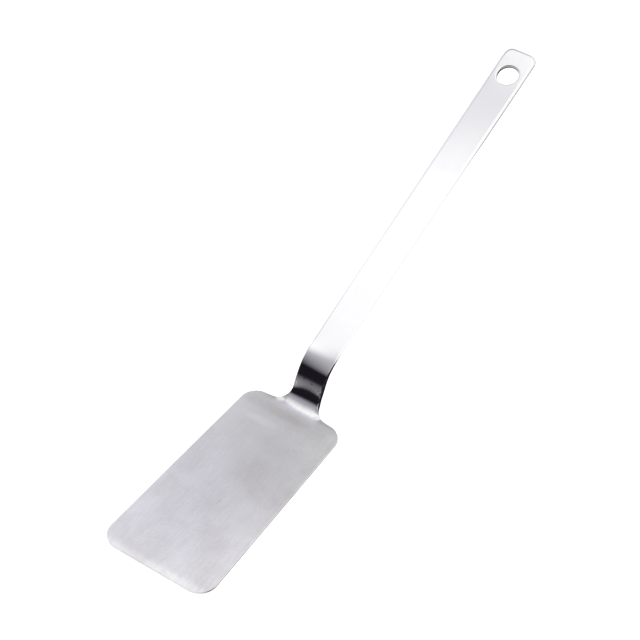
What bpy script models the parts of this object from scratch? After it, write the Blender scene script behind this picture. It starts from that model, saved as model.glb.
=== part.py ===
"""Pancake turner in stainless steel: a thin stamped blade butt-welded to a bent flat-bar handle.

Lengths are in metres and +Z is up. The origin is the middle of the blade's flat underside, the
front edge lies towards -Y and the handle rises towards +Y. Each piece is laid out flat first, in
the coordinates (x across, s along the top face, w up from the top face), and then bent along the
turner's side line. The start of the foot bend is s = 0.
"""
import math

import bmesh
import bpy
import numpy as np
from mathutils import Matrix, Vector

# Blade, a sheet with its front edge ground to a bevel
BLADE_LENGTH = 0.1225
BLADE_FRONT_WIDTH = 0.0672
BLADE_REAR_WIDTH = 0.0602
SHEET_THICKNESS = 0.0012
SHEET_RIM_RADIUS = 0.00035
FRONT_CORNER_RADIUS = 0.0103
REAR_CORNER_RADIUS = 0.0096
BEVEL_LENGTH = 0.0024
FRONT_EDGE_THICKNESS = 0.0005

# Shoulders, rising a little from the rear corners to the root of the neck, which they flow into
SHOULDER_OUTER_END = 0.0027
SHOULDER_INNER_END = 0.0048
NECK_FILLET_RADIUS = 0.0091

# Handle, one flat bar: neck, two bends and the straight grip
BAR_THICKNESS = 0.0032
BAR_RIM_RADIUS = 0.0015
NECK_WIDTH = 0.017
GRIP_START_WIDTH = 0.0184
GRIP_END_WIDTH = 0.02
GRIP_TAPER_START = 0.052
WAIST_BLEND_RADIUS = 3.0
FOOT_RADIUS = 0.0123
RISE_ANGLE = math.radians(60.8)
NECK_LENGTH = 0.0101
TOP_BEND_RADIUS = 0.0199
GRIP_ANGLE = math.radians(20.0)
GRIP_LENGTH = 0.2065
END_CORNER_RADIUS = 0.0026

# Hanging hole in the end of the grip, its rims rounded
HOLE_DIAMETER = 0.0124
HOLE_TO_END = 0.0156
HOLE_RIM_RADIUS = 0.0005
CUT_OVERRUN = 0.002

# Weld, a single V groove filled from below and ground flush on top
SEAM_TO_BLADE = 0.0083
WELD_ROOT_WIDTH = 0.0007
WELD_RIM_RADIUS = 0.0004
GROOVE_ANGLE = math.radians(30.0)
SEAM_CLEARANCE = 0.0003

# Smoothness: pieces of arc, and the distance at which a cut meets a point
ARC_STEPS = 18
FOOT_STEPS = 22
TOP_BEND_STEPS = 18
WAIST_STEPS = 4
SHEET_RIM_STEPS = 3
BAR_RIM_STEPS = 6
HOLE_SIDES = 64
MEET_DISTANCE = 0.0000004
SMOOTH_ANGLE = math.radians(32.0)

# A rim takes at most these shares of the plate's thickness and of its tightest corner
RIM_THICKNESS_SHARE = 0.48
RIM_CORNER_SHARE = 0.9

# Lengths along the top face that follow from the bends
FOOT_ARC = FOOT_RADIUS * RISE_ANGLE
TOP_BEND_ARC = TOP_BEND_RADIUS * (RISE_ANGLE - GRIP_ANGLE)
GRIP_START = FOOT_ARC + NECK_LENGTH + TOP_BEND_ARC
HANDLE_END = GRIP_START + GRIP_LENGTH
HOLE_CENTRE = HANDLE_END - HOLE_TO_END


def clear_scene():
    """Remove every object that the file holds."""
    for thing in list(bpy.data.objects):
        bpy.data.objects.remove(thing, do_unlink=True)


def steel(name, colour, roughness):
    """A bare stainless steel finish."""
    material = bpy.data.materials.new(name)
    material.use_nodes = True
    shader = material.node_tree.nodes["Principled BSDF"]
    shader.inputs["Base Color"].default_value = (*colour, 1.0)
    shader.inputs["Metallic"].default_value = 1.0
    shader.inputs["Roughness"].default_value = roughness
    material.diffuse_color = (*colour, 1.0)
    return material


def side_line():
    """Stations of the top face seen from the side: s, y, z and the slope at each.

    A bend of radius R turns the slope evenly with s, so y gains R sin and z gains R (1 - cos).
    """
    foot = np.linspace(0.0, RISE_ANGLE, FOOT_STEPS + 1)
    top = np.linspace(RISE_ANGLE, GRIP_ANGLE, TOP_BEND_STEPS + 1)
    s = np.concatenate([[-BLADE_LENGTH], FOOT_RADIUS * foot,
                        FOOT_ARC + NECK_LENGTH + TOP_BEND_RADIUS * (RISE_ANGLE - top), [HANDLE_END]])
    slope = np.concatenate([[0.0], foot, top, [GRIP_ANGLE]])
    foot_y = FOOT_RADIUS * np.sin(foot)
    foot_z = SHEET_THICKNESS + FOOT_RADIUS * (1.0 - np.cos(foot))
    top_y = foot_y[-1] + NECK_LENGTH * math.cos(RISE_ANGLE)
    top_z = foot_z[-1] + NECK_LENGTH * math.sin(RISE_ANGLE)
    bend_y = top_y + TOP_BEND_RADIUS * (math.sin(RISE_ANGLE) - np.sin(top))
    bend_z = top_z + TOP_BEND_RADIUS * (np.cos(top) - math.cos(RISE_ANGLE))
    end_y = bend_y[-1] + GRIP_LENGTH * math.cos(GRIP_ANGLE)
    end_z = bend_z[-1] + GRIP_LENGTH * math.sin(GRIP_ANGLE)
    y = np.concatenate([[-BLADE_LENGTH], foot_y, bend_y, [end_y]])
    z = np.concatenate([[SHEET_THICKNESS], foot_z, bend_z, [end_z]])
    return s, y + BLADE_LENGTH / 2.0, z, slope


STATION_S, STATION_Y, STATION_Z, STATION_SLOPE = side_line()


def bent(x, s, w):
    """Where the flat point (x, s, w) lies once the turner is bent."""
    up_y = np.interp(s, STATION_S, -np.sin(STATION_SLOPE))
    up_z = np.interp(s, STATION_S, np.cos(STATION_SLOPE))
    y = np.interp(s, STATION_S, STATION_Y) + w * up_y
    z = np.interp(s, STATION_S, STATION_Z) + w * up_z
    return Vector((x, float(y), float(z)))


def turner_corners():
    """Corners (x, s, radius, steps) of the right half of the flat outline, front to end."""
    return [
        (BLADE_FRONT_WIDTH / 2.0, -BLADE_LENGTH, FRONT_CORNER_RADIUS, ARC_STEPS),
        (BLADE_REAR_WIDTH / 2.0, SHOULDER_OUTER_END, REAR_CORNER_RADIUS, ARC_STEPS),
        (NECK_WIDTH / 2.0, SHOULDER_INNER_END, NECK_FILLET_RADIUS, ARC_STEPS),
        (GRIP_START_WIDTH / 2.0, GRIP_TAPER_START, WAIST_BLEND_RADIUS, WAIST_STEPS),
        (GRIP_END_WIDTH / 2.0, HANDLE_END, END_CORNER_RADIUS, ARC_STEPS),
    ]


def rounded_outline():
    """The closed outline, anticlockwise from above, as points and their outward normals.

    Each corner is an arc that touches both its sides: the touch points lie R tan(turn / 2) from
    the corner, and the centre lies one radius to the side that the outline turns to.
    """
    right = turner_corners()
    left = [(-x, s, radius, steps) for x, s, radius, steps in reversed(right)]
    corners = right + left
    points = []
    normals = []
    for index, (x, s, radius, steps) in enumerate(corners):
        corner = np.array([x, s])
        before = corner - np.array(corners[index - 1][:2])
        after = np.array(corners[(index + 1) % len(corners)][:2]) - corner
        before = before / np.linalg.norm(before)
        after = after / np.linalg.norm(after)
        turn = math.atan2(before[0] * after[1] - before[1] * after[0], float(before @ after))
        side = math.copysign(1.0, turn)
        touch = corner - before * radius * math.tan(abs(turn) / 2.0)
        outward = np.array([before[1], -before[0]])
        centre = touch - outward * radius * side
        for step in range(steps + 1):
            angle = turn * step / steps
            normal = np.array([outward[0] * math.cos(angle) - outward[1] * math.sin(angle),
                               outward[0] * math.sin(angle) + outward[1] * math.cos(angle)])
            points.append(centre + normal * radius * side)
            normals.append(normal)
    return np.array(points), np.array(normals)


def rim_profile(thickness, radius, steps):
    """The rounded edge from the top face round to the underside, as (inset, w) pairs."""
    limit = RIM_CORNER_SHARE * END_CORNER_RADIUS
    radius = min(radius, RIM_THICKNESS_SHARE * thickness, limit)
    angles = [math.pi / 2.0 * step / steps for step in range(steps + 1)]
    upper = [(radius * (1.0 - math.sin(a)), -radius * (1.0 - math.cos(a))) for a in angles]
    lower = [(inset, -thickness - w) for inset, w in reversed(upper)]
    return upper + lower


def flat_plate(thickness, rim_radius, rim_steps):
    """A plate with the turner's whole outline and a rounded rim, lying flat."""
    outline, normals = rounded_outline()
    plate = bmesh.new()
    loops = []
    for inset, w in rim_profile(thickness, rim_radius, rim_steps):
        ring = outline - normals * inset
        loops.append([plate.verts.new((x, s, w)) for x, s in ring])
    count = len(outline)
    for upper, lower in zip(loops[:-1], loops[1:]):
        for near in range(count):
            far = (near + 1) % count
            plate.faces.new((upper[near], lower[near], lower[far], upper[far]))
    plate.faces.new(loops[0])
    plate.faces.new(list(reversed(loops[-1])))
    return plate


def everything(mesh):
    """All the geometry of a mesh being edited."""
    return mesh.verts[:] + mesh.edges[:] + mesh.faces[:]


def saw_off(plate, s, w, away):
    """Cut the flat plate along a straight line across it, and drop the side that away points to.

    The cut passes through (s, w), and away is a direction in the (s, w) plane, square to the cut.
    """
    cut = bmesh.ops.bisect_plane(plate, geom=everything(plate), dist=MEET_DISTANCE, plane_co=(0.0, s, w),
                                 plane_no=(0.0, away[0], away[1]), clear_outer=True)
    edges = [part for part in cut["geom_cut"] if isinstance(part, bmesh.types.BMEdge)]
    bmesh.ops.contextual_create(plate, geom=edges)


def crease_at_stations(plate, extra=()):
    """Cut the plate across at each station of the side line, so that it can bend there."""
    low = min(vert.co.y for vert in plate.verts)
    high = max(vert.co.y for vert in plate.verts)
    for s in [*STATION_S, *extra]:
        if low + MEET_DISTANCE < s < high - MEET_DISTANCE:
            bmesh.ops.bisect_plane(plate, geom=everything(plate), dist=MEET_DISTANCE,
                                   plane_co=(0.0, s, 0.0), plane_no=(0.0, 1.0, 0.0))


def grind_front_bevel(plate):
    """Thin the sheet evenly from the start of the bevel to the front edge, from its top side."""
    starts = -BLADE_LENGTH
    ends = starts + BEVEL_LENGTH
    for vert in plate.verts:
        share = np.interp(vert.co.y, [starts, ends], [FRONT_EDGE_THICKNESS / SHEET_THICKNESS, 1.0])
        height = (vert.co.z + SHEET_THICKNESS) * float(share)
        vert.co.z = height - SHEET_THICKNESS


def bend_to_object(plate, name, material, place):
    """Bend the flat plate along the side line and make it an object whose origin is place."""
    for vert in plate.verts:
        vert.co = bent(vert.co.x, vert.co.y, vert.co.z) - place
    bmesh.ops.recalc_face_normals(plate, faces=plate.faces[:])
    bmesh.ops.triangulate(plate, faces=plate.faces[:])
    mesh = bpy.data.meshes.new(name)
    plate.to_mesh(mesh)
    plate.free()
    mesh.shade_smooth()
    mesh.set_sharp_from_angle(angle=SMOOTH_ANGLE)
    mesh.materials.append(material)
    thing = bpy.data.objects.new(name, mesh)
    thing.location = place
    bpy.context.collection.objects.link(thing)
    return thing


# The groove's walls lean apart downwards, and these directions point out of each end face
GROOVE_LEAN = math.tan(GROOVE_ANGLE)
OUT_OF_BLADE = (math.cos(GROOVE_ANGLE), -math.sin(GROOVE_ANGLE))
OUT_OF_HANDLE = (-math.cos(GROOVE_ANGLE), -math.sin(GROOVE_ANGLE))
WELD_BLADE_SIDE = SEAM_TO_BLADE - WELD_ROOT_WIDTH / 2.0
WELD_HANDLE_SIDE = SEAM_TO_BLADE + WELD_ROOT_WIDTH / 2.0
WALL_STEP = SEAM_CLEARANCE / math.cos(GROOVE_ANGLE)


def opposite(direction):
    """The direction that points the other way."""
    return tuple(-part for part in direction)


def make_blade():
    """The sheet from its ground front edge to the groove wall behind the shoulders."""
    plate = flat_plate(SHEET_THICKNESS, SHEET_RIM_RADIUS, SHEET_RIM_STEPS)
    saw_off(plate, WELD_BLADE_SIDE - WALL_STEP, 0.0, OUT_OF_BLADE)
    crease_at_stations(plate, extra=(BEVEL_LENGTH - BLADE_LENGTH,))
    grind_front_bevel(plate)
    satin = steel("blade_satin_steel", (0.74, 0.74, 0.75), 0.34)
    return bend_to_object(plate, "blade", satin, Vector((0.0, 0.0, 0.0)))


def make_handle():
    """The bar from the groove wall up the neck, over the top bend and along the grip."""
    plate = flat_plate(BAR_THICKNESS, BAR_RIM_RADIUS, BAR_RIM_STEPS)
    saw_off(plate, WELD_HANDLE_SIDE + WALL_STEP, 0.0, OUT_OF_HANDLE)
    crease_at_stations(plate)
    polished = steel("handle_polished_steel", (0.79, 0.79, 0.8), 0.16)
    foot_of_handle = bent(0.0, SEAM_TO_BLADE, 0.0)
    handle = bend_to_object(plate, "handle", polished, foot_of_handle)
    cutter = make_hole_cutter()
    cut = handle.modifiers.new("hanging_hole", "BOOLEAN")
    cut.operation = "DIFFERENCE"
    cut.solver = "EXACT"
    cut.object = cutter
    return handle


def make_hole_cutter():
    """A spool that cuts the hanging hole and rounds both its rims, square to the grip."""
    radius = HOLE_DIAMETER / 2.0
    rim = min(HOLE_RIM_RADIUS, RIM_THICKNESS_SHARE * BAR_THICKNESS)
    half = BAR_THICKNESS / 2.0
    angles = [math.pi / 2.0 * step / BAR_RIM_STEPS for step in range(BAR_RIM_STEPS + 1)]
    flare = [(radius + rim * (1.0 - math.sin(a)), half - rim * (1.0 - math.cos(a))) for a in angles]
    upper = [(radius + rim, half + CUT_OVERRUN), *flare]
    profile = upper + [(r, -h) for r, h in reversed(upper)]
    spool = bmesh.new()
    rings = []
    for r, h in profile:
        turns = [math.tau * side / HOLE_SIDES for side in range(HOLE_SIDES)]
        rings.append([spool.verts.new((r * math.cos(t), r * math.sin(t), h)) for t in turns])
    for upper_ring, lower_ring in zip(rings[:-1], rings[1:]):
        for near in range(HOLE_SIDES):
            far = (near + 1) % HOLE_SIDES
            spool.faces.new((upper_ring[near], lower_ring[near], lower_ring[far], upper_ring[far]))
    spool.faces.new(rings[0])
    spool.faces.new(list(reversed(rings[-1])))
    bmesh.ops.recalc_face_normals(spool, faces=spool.faces[:])
    mesh = bpy.data.meshes.new("hole_cutter")
    spool.to_mesh(mesh)
    spool.free()
    cutter = bpy.data.objects.new("hole_cutter", mesh)
    middle = bent(0.0, HOLE_CENTRE, -half)
    cutter.matrix_world = Matrix.Translation(middle) @ Matrix.Rotation(GRIP_ANGLE, 4, "X")
    cutter.hide_render = True
    cutter.display_type = "WIRE"
    bpy.context.collection.objects.link(cutter)
    return cutter


def make_neck_weld():
    """The weld metal in the groove: flush on top, and below a ramp from the sheet to the bar."""
    plate = flat_plate(BAR_THICKNESS, WELD_RIM_RADIUS, SHEET_RIM_STEPS)
    saw_off(plate, WELD_BLADE_SIDE, 0.0, opposite(OUT_OF_BLADE))
    saw_off(plate, WELD_HANDLE_SIDE, 0.0, opposite(OUT_OF_HANDLE))
    sheet_toe = (WELD_BLADE_SIDE - SHEET_THICKNESS * GROOVE_LEAN, -SHEET_THICKNESS)
    bar_toe = (WELD_HANDLE_SIDE + BAR_THICKNESS * GROOVE_LEAN, -BAR_THICKNESS)
    ramp_length = bar_toe[0] - sheet_toe[0]
    ramp_drop = bar_toe[1] - sheet_toe[1]
    slant = math.hypot(ramp_length, ramp_drop)
    saw_off(plate, *sheet_toe, (ramp_drop / slant, -ramp_length / slant))
    crease_at_stations(plate)
    blended = steel("weld_blended_steel", (0.77, 0.77, 0.78), 0.24)
    return bend_to_object(plate, "neck_weld", blended, bent(0.0, SEAM_TO_BLADE, 0.0))


def main():
    """Build the turner's pieces under one empty."""
    clear_scene()
    turner = bpy.data.objects.new("turner", None)
    bpy.context.collection.objects.link(turner)
    for piece in (make_blade(), make_neck_weld(), make_handle()):
        piece.parent = turner


main()
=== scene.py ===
# %% [markdown]
# # A pancake turner in brushed and polished steel
# This lesson dresses a plain model of a pancake turner so that it looks like the real thing on a
# white table. The plain model is a frame that never moves: it has a blade, a handle and the weld
# between them. Each of the three gets a fine new surface here, worked out with numpy, and a steel
# finish made from shader nodes. Run it from top to bottom.

# %% Load the fixed frame
import math

import bmesh
import bpy
import numpy as np
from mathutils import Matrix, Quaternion, Vector


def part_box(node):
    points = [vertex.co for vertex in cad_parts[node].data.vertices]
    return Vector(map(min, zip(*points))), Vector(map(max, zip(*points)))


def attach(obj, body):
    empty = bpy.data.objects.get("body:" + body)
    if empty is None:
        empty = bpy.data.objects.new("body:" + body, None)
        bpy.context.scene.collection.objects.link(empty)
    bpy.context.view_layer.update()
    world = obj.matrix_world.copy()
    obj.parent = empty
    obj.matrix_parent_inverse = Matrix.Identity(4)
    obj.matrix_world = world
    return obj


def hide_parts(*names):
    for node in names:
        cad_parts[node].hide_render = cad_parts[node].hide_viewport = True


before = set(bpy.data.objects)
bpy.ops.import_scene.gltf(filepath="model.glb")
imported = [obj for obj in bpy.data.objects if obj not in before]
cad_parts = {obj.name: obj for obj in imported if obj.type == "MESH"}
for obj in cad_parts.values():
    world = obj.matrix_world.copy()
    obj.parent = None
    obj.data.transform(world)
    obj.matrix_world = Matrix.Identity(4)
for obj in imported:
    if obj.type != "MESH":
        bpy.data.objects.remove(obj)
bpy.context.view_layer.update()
print("nodes in the frame:", sorted(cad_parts))

# %% [markdown]
# ## The camera
# The photograph was taken from above the turner's front right corner with a long lens. The place,
# the aim and the slight roll were found by matching the turner's outline in the picture. A camera
# could also be placed by eye, but then no edge would fall where it does in the photograph.

# %% Put the camera where the photographer stood
MM = 0.001
PICTURE_SIDE = 640
FOCAL_PIXELS = 2108.0
SENSOR_WIDTH = 36.0
CAMERA_PLACE = Vector((431.5, -522.6, 846.6)) * MM
CAMERA_AIM = Vector((-28.0, 125.4, 0.0)) * MM
CAMERA_ROLL = math.radians(-0.58)

camera = bpy.data.objects.new("photo_camera", bpy.data.cameras.new("photo_camera"))
camera.data.sensor_width = SENSOR_WIDTH
camera.data.lens = FOCAL_PIXELS / PICTURE_SIDE * SENSOR_WIDTH
camera.location = CAMERA_PLACE
camera.rotation_mode = "QUATERNION"
level_look = (CAMERA_AIM - CAMERA_PLACE).to_track_quat("-Z", "Y")
camera.rotation_quaternion = level_look @ Quaternion((0.0, 0.0, 1.0), CAMERA_ROLL)
bpy.context.scene.collection.objects.link(camera)
bpy.context.scene.camera = camera
print("lens", round(camera.data.lens, 1), "mm, at", round(CAMERA_PLACE.length, 3), "m")

# %% [markdown]
# ## The turner as a flat pattern
# A smith cuts this shape from flat metal and bends it afterwards, and so does this script. A point
# of the flat pattern has three coordinates in millimetres: x across the turner, s along its top
# face, and w up out of that face. The foot bend starts near s = 0. The sizes are nearly those of
# the plain model. A rolled edge looks shorter than a sharp one, so here the handle ends 2 mm later
# with rounder corners, and the hanging hole is 0.4 mm narrower.

# %% Sizes of the flat pattern, in millimetres
BLADE_LENGTH = 122.5
FRONT_HALF_WIDTH = 33.6
REAR_HALF_WIDTH = 30.1
SHEET = 1.2
BAR = 3.2
HANDLE_END = 245.5
HOLE_RADIUS = 6.0
HOLE_TO_END = 17.3
SEAM = 8.3
SEAM_WIDTH = 0.7
GROOVE_LEAN = math.tan(math.radians(30.0))
HAIR = 1e-4  # a length too small to matter, for comparisons

HOLE_CENTRE = HANDLE_END - HOLE_TO_END
print("flat length", round(BLADE_LENGTH + HANDLE_END, 1), "mm")

# %% [markdown]
# ### The outline
# The edge is a chain of straight lines joined by arcs that touch both neighbours: front corner,
# rear corner, the hollow where the shoulder flows into the neck, a hardly visible waist, and the
# end corner. It could be a Bezier curve, but arcs and lines are what the cutting tool makes. Each
# corner is the place (x, s) where its two lines would meet, and the radius of its arc.

# %% Lines and arcs as dense points
DENSE_STEP = 0.1
FEWEST_ARC_POINTS = 12


def line_points(start, end):
    """Points on a straight line from start towards end, with the normal to its right."""
    length = np.linalg.norm(end - start)
    share = np.linspace(0.0, 1.0, max(2, int(length / DENSE_STEP)))[:, None]
    along = (end - start) / max(length, HAIR)
    normal = np.array([along[1], -along[0]])
    return start + (end - start) * share, np.repeat(normal[None, :], len(share), axis=0)


def arc_points(corner, before, after, radius):
    """An arc of that radius that touches both sides of the corner, with its outward normals.

    It starts radius times tan(turn / 2) before the corner, and its normal turns evenly.
    """
    turn = math.atan2(before[0] * after[1] - before[1] * after[0], before @ after)
    side = math.copysign(1.0, turn)
    start = corner - before * radius * math.tan(abs(turn) / 2.0)
    right = np.array([before[1], -before[0]])
    count = max(FEWEST_ARC_POINTS, int(radius * abs(turn) / DENSE_STEP))
    angle = np.linspace(0.0, turn, count)
    normal = np.stack([right[0] * np.cos(angle) - right[1] * np.sin(angle),
                       right[0] * np.sin(angle) + right[1] * np.cos(angle)], axis=1)
    return start - right * radius * side + normal * radius * side, normal


print("neighbouring points lie about", DENSE_STEP, "mm apart")

# %% The outline of the right half
CORNERS = [
    ((FRONT_HALF_WIDTH, -BLADE_LENGTH), 10.3),
    ((REAR_HALF_WIDTH, 2.7), 9.6),
    ((8.35, 4.8), 9.1),
    ((9.2, 52.0), 3000.0),
    ((10.0, HANDLE_END), 5.2),
]


def half_outline():
    """Points (x, s) and normals of the right half's edge, from front centre to end centre."""
    stops = [np.array([0.0, -BLADE_LENGTH]), *[np.array(c) for c, r in CORNERS],
             np.array([0.0, HANDLE_END])]
    points, normals = [], []
    here = stops[0]
    for corner, (_, radius), ahead in zip(stops[1:-1], CORNERS, stops[2:]):
        before = (corner - here) / np.linalg.norm(corner - here)
        after = (ahead - corner) / np.linalg.norm(ahead - corner)
        arc, arc_normals = arc_points(corner, before, after, radius)
        line, line_normals = line_points(here, arc[0])
        points += [line[:-1], arc[:-1]]
        normals += [line_normals[:-1], arc_normals[:-1]]
        here = arc[-1]
    line, line_normals = line_points(here, stops[-1])
    return np.concatenate([*points, line]), np.concatenate([*normals, line_normals])


edge_points, edge_normals = half_outline()
edge_steps = np.linalg.norm(np.diff(edge_points, axis=0), axis=1)
edge_run = np.concatenate([[0.0], np.cumsum(edge_steps)])
print("half outline:", len(edge_points), "points,", round(edge_run[-1], 1), "mm long")

# %% [markdown]
# Two helpers read that dense edge: one finds a station s on it, and the other steps inwards.


# %% Reading the outline
def on_side(s, inset=0.0):
    """How far along the edge the right side, moved inwards by the inset, passes the station s."""
    first = np.searchsorted(edge_points[:, 1], -BLADE_LENGTH + HAIR, side="left")
    last = np.searchsorted(edge_points[:, 1], HANDLE_END - HAIR, side="left")
    stations = edge_points[first:last, 1] - inset * edge_normals[first:last, 1]
    return np.interp(s, stations, edge_run[first:last])


def inset_point(run, inset):
    """The point (x, s) at a distance along the edge, moved inwards along the normal by inset."""
    return tuple(np.interp(run, edge_run, edge_points[:, axis])
                 - inset * np.interp(run, edge_run, edge_normals[:, axis]) for axis in (0, 1))


print("half width at the seam:", round(float(inset_point(on_side(SEAM), 0.0)[0]), 2), "mm")

# %% [markdown]
# ### Bending the pattern
# The side line is flat, then curves up, then runs steeply along the neck, then curves back to the
# straight grip. A bar that was bent by hand has no sudden change of curvature: a polished neck
# would show it at once as a kink in its reflections. So each bend is eased in and out by a raised
# cosine, instead of being an arc between two straight lines. The hand marks are small raised
# cosines too, which were fitted to the bands that the neck reflects.

# %% Eased bends and hand marks
HAND_MARKS = {
    "uneven": [(33.0, 6.0, 6.5)],
    "twist": [(14.0, 8.0, -0.5), (12.0, 3.5, -0.9), (30.0, 6.0, -1.5), (38.0, 6.0, 3.8)],
    "dish": [(5.0, 5.0, -2.1), (13.5, 6.0, 1.9)],
}


def eased(s, middle, length):
    """The share of a bend that is done at s: the running sum of a raised cosine of that length."""
    share = np.clip((s - middle) / length + 0.5, 0.0, 1.0)
    return share - np.sin(2.0 * np.pi * share) / (2.0 * np.pi)


def hand_slope(s, kind):
    """Raised cosines of that kind of mark, each with a place, a reach and an amount in degrees."""
    return sum(amount * (0.5 + 0.5 * np.cos(np.pi * np.clip((s - place) / reach, -1.0, 1.0)))
               for place, reach, amount in HAND_MARKS[kind])


print("hand marks:", {kind: len(marks) for kind, marks in HAND_MARKS.items()})

# %% The side line and the bend
SIDE_STEP = 0.02
SPARE = 5.0  # the line runs this much past both ends
STEEPEST = 61.8
GRIP_SLOPE = 20.0
FOOT_MIDDLE, FOOT_LENGTH = 7.3, 22.6
TOP_MIDDLE, TOP_LENGTH = 29.1, 25.4

line_s = np.arange(-BLADE_LENGTH - SPARE, HANDLE_END + SPARE, SIDE_STEP)
line_slope = np.radians(
    STEEPEST * eased(line_s, FOOT_MIDDLE, FOOT_LENGTH)
    - (STEEPEST - GRIP_SLOPE) * eased(line_s, TOP_MIDDLE, TOP_LENGTH)
    + hand_slope(line_s, "uneven"))
line_y = np.cumsum(np.cos(line_slope)) * SIDE_STEP
line_z = np.cumsum(np.sin(line_slope)) * SIDE_STEP
line_y += -BLADE_LENGTH / 2.0 - np.interp(-BLADE_LENGTH, line_s, line_y)
line_z += SHEET - np.interp(-BLADE_LENGTH, line_s, line_z)


def bend(x, s, w):
    """Where the flat point (x, s, w) lies on the bent turner, in metres.

    It is the side line's point at s, moved by w along the line's normal (-sin slope, cos slope).
    """
    slope = np.interp(s, line_s, line_slope)
    y = np.interp(s, line_s, line_y) - w * np.sin(slope)
    z = np.interp(s, line_s, line_z) + w * np.cos(slope)
    return np.stack([x + 0.0 * y, y, z], axis=-1) * MM


print("end of the top face at z", round(float(np.interp(HANDLE_END, line_s, line_z)), 2), "mm")

# %% [markdown]
# ### What makes metal look hand-made
# Bent and polished steel is never quite flat. Waves of a few hundredths of a millimetre make the
# reflections wander, and the neck also has a slight twist and a slight dish, which slant the dark
# bands in it. The shoulders beside the neck stay nearly flat, because only the narrow neck was
# bent. All of this is in the shape, not in the shader, so the mesh itself has it too. The front
# edge is ground thinner from its top side, with a soft start. Here and below, a pair of places
# says where a smooth step begins and ends.

# %% Low waves, twist and the ground front edge
GRIND_LENGTH = 5.4
GRIND_DROP = 0.23
HAND_HALF_WIDTH = 6.5
HAND_LIMIT = 1.2
SHEET_WAVES = [(0.030, 31.0, 17.0, 0.0), (0.018, 9.0, -40.0, 1.3)]
WAVES_END = (4.0, 16.0)
NECK_MARKS_END = (45.0, 110.0)
SHOULDER_WIDTH = (7.5, 15.0)
SHOULDER_END = (5.0, 8.5)

twist_height = np.cumsum(np.radians(hand_slope(line_s, "twist"))) * SIDE_STEP
dish_height = np.cumsum(np.radians(hand_slope(line_s, "dish"))) * SIDE_STEP


def smooth(value, low, high):
    """A smooth step from 0 at low to 1 at high: three squares minus two cubes."""
    share = np.clip((value - low) / (high - low), 0.0, 1.0)
    return share * share * (3.0 - 2.0 * share)


def waves(x, s):
    """Height of the low waves in the metal.

    On the sheet it is a sum of sines, each with a height, a length across, a length along and a
    start. On the neck it is x times the summed twist plus x squared times the summed dish. Beside
    the neck it takes back the line's rise.
    """
    sheet = sum(height * np.sin(x / across + s / along + start)
                for height, across, along, start in SHEET_WAVES)
    sheet = sheet * smooth(-s, *WAVES_END)
    out = np.clip(x / HAND_HALF_WIDTH, -HAND_LIMIT, HAND_LIMIT)
    neck = out * np.interp(s, line_s, twist_height) + out * out * np.interp(s, line_s, dish_height)
    neck = neck * (1.0 - smooth(s, *NECK_MARKS_END))
    climb = np.interp(s, line_s, line_z) - SHEET
    shoulder = -climb * smooth(np.abs(x), *SHOULDER_WIDTH) * (1.0 - smooth(s, *SHOULDER_END))
    return sheet + neck + shoulder


def ground(s, w, thick):
    """Height w after grinding: the underside stays, and the top sinks by a square."""
    near = np.clip(1.0 - (s + BLADE_LENGTH) / GRIND_LENGTH, 0.0, 1.0)
    return -thick + (w + thick) * (1.0 - GRIND_DROP * near ** 2 / thick)


print("front edge thickness:", round(float(ground(-BLADE_LENGTH, 0.0, SHEET) + SHEET), 2), "mm")

# %% [markdown]
# ### The rounded rim
# Seen at the edge, the face first rolls off very gently, because a polishing wheel always takes a
# little more there, and then turns down in a tighter round. One angle runs through both: it is the
# tilt of the surface, from 0 on the face to 90 degrees on the side.

# %% The rim as a curve of its tilt
TILTS = np.radians([0.0, 0.6, 1.3, 2.2, 3.4, 5.0, 7.5, 11.0, 16.0,
                    23.0, 31.0, 40.0, 49.0, 58.0, 67.0, 76.0, 84.0, 90.0])
TILTS_ROUND = np.concatenate([TILTS, TILTS[::-1]])
BAR_RIM_RADIUS = 1.25
BAR_ROLL = dict(roll=0.50, softness=0.08)


def rim(tilt, radius, roll, softness):
    """Inset and depth of the rim where it has that tilt.

    The tight part gives radius times sine and cosine, and the gentle roll adds an exponential that
    has used up its length once the tilt is well past its softness.
    """
    fading = np.exp(-tilt / softness)
    inset = radius * (1.0 - np.sin(tilt)) + roll * fading
    depth = radius * (1.0 - np.cos(tilt))
    return inset, depth + roll * softness * (1.0 - (1.0 + tilt / softness) * fading)


def rim_round(radius, roll, softness, thick):
    """The rim down to the side and on to the bottom face: inset, height w and the edge mask."""
    inset, depth = rim(TILTS_ROUND, radius, roll, softness)
    under = np.arange(len(TILTS_ROUND)) >= len(TILTS)
    return inset, np.where(under, depth - thick, -depth), TILTS_ROUND / TILTS[-1]


print("the bar's rim reaches", round(float(rim(0.0, BAR_RIM_RADIUS, **BAR_ROLL)[0]), 2),
      "mm into the face")

# %% [markdown]
# ## Plates from patches
# Each piece is closed by a few patches that share their borders: a top and a bottom face, rims, and
# flat walls at the weld. Every patch is a grid of two parameters. The helper below collects them,
# and welds the shared borders when the mesh is made.


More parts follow.
